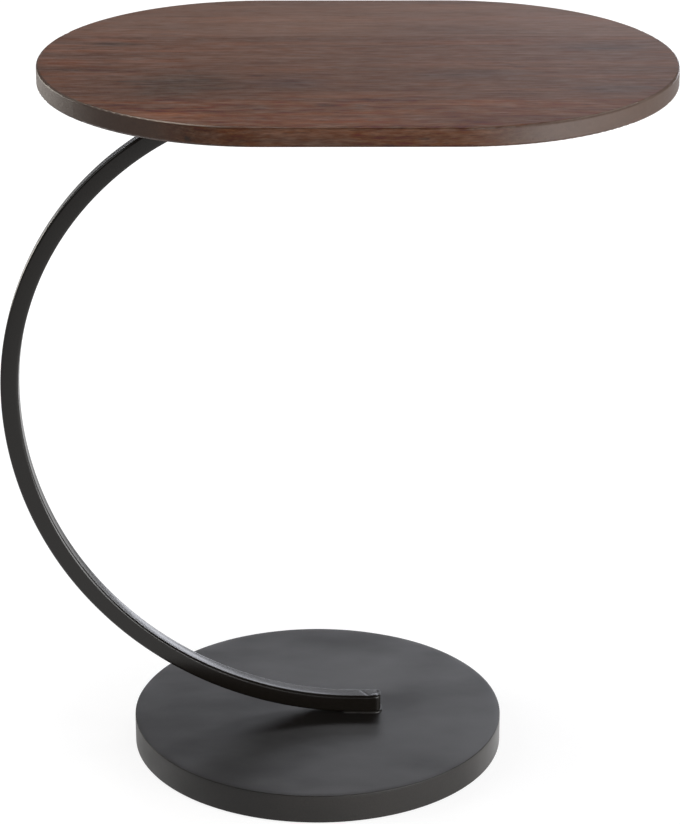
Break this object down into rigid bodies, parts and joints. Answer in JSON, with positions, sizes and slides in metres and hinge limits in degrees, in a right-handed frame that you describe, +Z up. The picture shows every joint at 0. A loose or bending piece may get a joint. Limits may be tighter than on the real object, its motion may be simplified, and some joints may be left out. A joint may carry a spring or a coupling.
{
  "type": "c shaped side table",
  "caption": "Side table with an oblong wooden top, carried on one side by a bent square steel tube in the shape of a C that is welded to a round weighted base.",
  "frame": {"origin": "on the floor, under the centre of the round base", "axes": "+Z up; +X along the top's length, towards the open side of the C; +Y across the top"},
  "size_m": [0.546, 0.356, 0.6],
  "materials": {
    "stained_wood": "dark walnut stain, satin lacquer",
    "black_paint": "satin black paint",
    "charcoal_paint": "matt charcoal black paint, rubbed by hand",
    "zinc_hardware": "zinc plated",
    "black_hardware": "black oxide",
    "raw_steel": "hot rolled, oiled",
    "felt": "pressed felt"
  },
  "bodies": {
    "root": {"tabletop_board_front": "stained_wood", "tabletop_board_mid_front": "stained_wood", "tabletop_board_mid_back": "stained_wood", "tabletop_board_back": "stained_wood", "threaded_inserts": "zinc_hardware", "mounting_plate": "black_paint", "mounting_washers": "zinc_hardware", "mounting_bolts": "black_hardware", "c_arm_tube": "black_paint", "arm_top_cap": "black_paint", "arm_foot_cap": "black_paint", "arm_foot_welds": "black_paint", "arm_plate_welds": "black_paint", "base_top_plate": "charcoal_paint", "base_rim_band": "charcoal_paint", "ballast_disc": "raw_steel", "ballast_studs": "raw_steel", "ballast_washers": "zinc_hardware", "ballast_nuts": "zinc_hardware", "base_bottom_cover": "charcoal_paint", "cover_tabs": "raw_steel", "cover_screws": "black_hardware", "floor_pads": "felt"}
  },
  "joints": []
}
